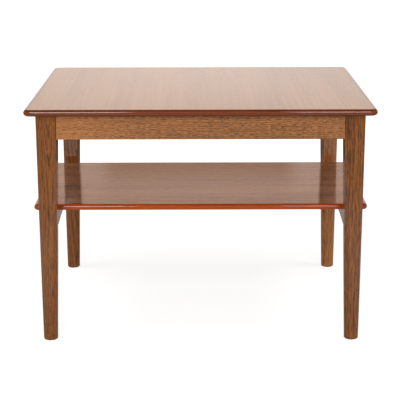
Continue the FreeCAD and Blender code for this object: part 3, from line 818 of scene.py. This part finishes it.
# In front of the table it is a lit wall with a dark band, which keeps the shine off the back legs
# just above the shelf, and with a dim ceiling above.
FRONT_WALL = [
    (0.0, (0.5, 0.42, 0.34)),
    (0.13, (0.95, 0.75, 0.58)),
    (0.17, (0.9, 0.68, 0.5)),
    (0.2, (0.25, 0.16, 0.1)),
    (0.285, (0.25, 0.16, 0.1)),
    (0.31, (1.35, 1.0, 0.68)),
    (0.6, (1.1, 0.8, 0.55)),
    (0.72, (0.15, 0.1, 0.07)),
    (1.0, (0.05, 0.04, 0.03)),
]
# How both walls fall off to the sides.
WALL_ACROSS = [(0.0, 1.02), (0.04, 1.02), (0.13, 0.92), (1.0, 0.92)]
# How far round to the back the one wall gives way to the other.
FRONT_TO_BACK = [(0.0, 0.0), (0.35, 0.0), (0.6, 1.0), (1.0, 1.0)]

TABLE_MIDDLE = (0.0, 0.0, 0.35)
# Each lamp: its name, its place, what it is turned to, its width and height, its power in watts,
# and whether polished surfaces mirror it. The strips put the shine on the back legs.
LAMPS = (
    ("key softbox", (-0.66, -2.6, 1.85), TABLE_MIDDLE, (0.7, 0.9), 20.0, True),
    ("second softbox", (0.5, -2.0, 1.38), TABLE_MIDDLE, (0.34, 0.75), 5.5, True),
    ("left strip", (-0.64, -2.6, 1.035), (-0.64, 0.0, 1.035), (0.3, 0.09), 1.1, True),
    ("right strip", (0.64, -2.6, 1.035), (0.64, 0.0, 1.035), (0.3, 0.09), 0.65, True),
    ("left softbox", (-1.0, -2.7, 1.0), TABLE_MIDDLE, (1.0, 0.4), 12.0, False),
    ("right softbox", (1.1, -2.7, 1.0), TABLE_MIDDLE, (1.0, 0.4), 11.0, False),
    ("left wing", (-1.7, 0.0, 2.5), TABLE_MIDDLE, (0.9, 0.9), 13.0, False),
    ("right wing", (1.7, 0.0, 2.5), TABLE_MIDDLE, (0.9, 0.9), 12.0, False),
)
SENSOR_WIDTH = 36.0


def add_floor(looks):
    """The pale floor, white around the table's soft shadow, and clear from underneath."""
    bpy.ops.mesh.primitive_plane_add(size=looks.floor_size)
    floor = bpy.context.object
    floor.name = "floor"
    material = new_material("Studio floor")
    nodes = Nodes(material.node_tree)
    paint = nodes.add("ShaderNodeBsdfDiffuse", {"Color": colour(looks.floor)}).outputs[0]
    seen_paint = nodes.add("ShaderNodeBsdfDiffuse", {"Color": colour(SEEN_FLOOR)}).outputs[0]
    spot = nodes.add("ShaderNodeTexCoord").outputs["Object"]
    length = nodes.add("ShaderNodeVectorMath", {0: spot}, operation="LENGTH").outputs["Value"]
    distance = nodes.math("DIVIDE", length, FLOOR_REACH, clamp=True)
    glow = nodes.add(
        "ShaderNodeEmission", {"Color": WHITE, "Strength": nodes.ramp(distance, FLOOR_GLOW)})
    seen = nodes.add("ShaderNodeAddShader", {0: seen_paint, 1: glow.outputs[0]}).outputs[0]
    depth = nodes.add("ShaderNodeSeparateXYZ", {0: spot}).outputs["Y"]
    back = nodes.math("ADD", nodes.math("DIVIDE", depth, FLOOR_REACH), MIDDLE, clamp=True)
    mirrored = nodes.add("ShaderNodeEmission", {
        "Color": nodes.ramp(distance, FLOOR_MIRRORED),
        "Strength": nodes.ramp(back, FLOOR_FRONT_TO_BACK)}).outputs[0]
    ray = nodes.add("ShaderNodeLightPath").outputs
    unseen = nodes.either(ray["Is Glossy Ray"], paint, mirrored)
    above = nodes.either(ray["Is Camera Ray"], unseen, seen)
    clear = nodes.add("ShaderNodeBsdfTransparent").outputs[0]
    under = nodes.add("ShaderNodeNewGeometry").outputs["Backfacing"]
    nodes.add("ShaderNodeOutputMaterial", {"Surface": nodes.either(under, above, clear)})
    floor.data.materials.append(material)


def add_sky():
    """The surround: soft light, white to the camera, with walls that only polished faces see."""
    world = bpy.data.worlds.new("Studio")
    bpy.context.scene.world = world
    world.use_nodes = True
    world.node_tree.nodes.clear()
    nodes = Nodes(world.node_tree)
    direction = nodes.add("ShaderNodeTexCoord").outputs["Generated"]
    parts = nodes.add("ShaderNodeSeparateXYZ", {0: direction}).outputs
    sideways = nodes.math("ABSOLUTE", parts["X"])
    towards_back = nodes.times(nodes.plus(parts["Y"], 1.0), MIDDLE)
    inside = nodes.times(nodes.ramp(sideways, PANEL_ACROSS), nodes.ramp(parts["Z"], PANEL_UP))
    back = nodes.mix(inside, nodes.ramp(parts["Z"], BACK_WALL), colour(PANEL))
    front = nodes.ramp(parts["Z"], FRONT_WALL)
    wall = nodes.mix(nodes.ramp(towards_back, FRONT_TO_BACK), front, back)
    light = nodes.add("ShaderNodeBackground", {"Color": WHITE, "Strength": SKY_LEVEL}).outputs[0]
    mirrored = nodes.add("ShaderNodeBackground", {
        "Color": wall, "Strength": nodes.ramp(sideways, WALL_ACROSS)}).outputs[0]
    seen = nodes.add("ShaderNodeBackground", {"Color": WHITE, "Strength": 1.0}).outputs[0]
    ray = nodes.add("ShaderNodeLightPath").outputs
    unseen = nodes.either(ray["Is Glossy Ray"], light, mirrored)
    nodes.add(
        "ShaderNodeOutputWorld", {"Surface": nodes.either(ray["Is Camera Ray"], unseen, seen)})


def add_lamp(name, place, aim, size, power, mirrored):
    """A softbox at a place, turned to a point; polished surfaces mirror it or not."""
    bpy.ops.object.light_add(type="AREA", location=place)
    lamp = bpy.context.object
    lamp.name = name
    lamp.rotation_euler = (Vector(aim) - Vector(place)).to_track_quat("-Z", "Y").to_euler()
    lamp.data.shape = "RECTANGLE"
    lamp.data.size, lamp.data.size_y = size
    lamp.data.energy = power
    lamp.visible_glossy = mirrored


def add_camera(looks):
    """The camera, from its place and its three turns."""
    yaw = Quaternion((0, 0, 1), -looks.camera_yaw)
    pitch = Quaternion((1, 0, 0), math.pi / 2 - looks.camera_pitch)
    roll = Quaternion((0, 0, 1), looks.camera_roll)
    turn = yaw @ pitch @ roll
    bpy.ops.object.camera_add(location=looks.camera_place, rotation=turn.to_euler())
    camera = bpy.context.object
    camera.data.lens = looks.camera_lens
    camera.data.sensor_width = SENSOR_WIDTH
    bpy.context.scene.camera = camera


class SIDETABLE_OT_stage(bpy.types.Operator):
    """Set up the floor, the surround, the lamps and the camera"""

    bl_idname = "side_table.stage"
    bl_label = "Stage"

    def execute(self, context):
        looks = settings()
        add_floor(looks)
        add_sky()
        for lamp in LAMPS:
            add_lamp(*lamp)
        add_camera(looks)
        context.scene.view_settings.view_transform = "Standard"
        return {"FINISHED"}


# -------------------------------------------------------------------------------------------------
# Add-on


class SIDETABLE_PT_sidebar(bpy.types.Panel):
    """Lists the table's operators"""

    bl_label = "Side Table"
    bl_idname = "SIDETABLE_PT_sidebar"
    bl_space_type = "VIEW_3D"
    bl_region_type = "UI"
    bl_category = "Side Table"

    def draw(self, context):
        for operator in OPERATORS:
            self.layout.operator(operator.bl_idname)


OPERATORS = (
    SIDETABLE_OT_top,
    SIDETABLE_OT_shelf,
    SIDETABLE_OT_legs,
    SIDETABLE_OT_aprons_and_rails,
    SIDETABLE_OT_fittings,
    SIDETABLE_OT_screws,
    SIDETABLE_OT_stage,
)
CLASSES = (SideTableLooks,) + OPERATORS + (SIDETABLE_PT_sidebar,)


def register():
    """Make the operators, the settings and the panel known."""
    for item in CLASSES:
        bpy.utils.register_class(item)
    bpy.types.Scene.side_table = bpy.props.PointerProperty(type=SideTableLooks)


def unregister():
    """Take them away again."""
    del bpy.types.Scene.side_table
    for item in reversed(CLASSES):
        bpy.utils.unregister_class(item)


def main():
    """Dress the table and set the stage."""
    register()
    bpy.ops.side_table.top()
    bpy.ops.side_table.shelf()
    bpy.ops.side_table.legs()
    bpy.ops.side_table.aprons_and_rails()
    bpy.ops.side_table.fittings()
    bpy.ops.side_table.screws()
    bpy.ops.side_table.stage()


if __name__ == "__main__":
    main()
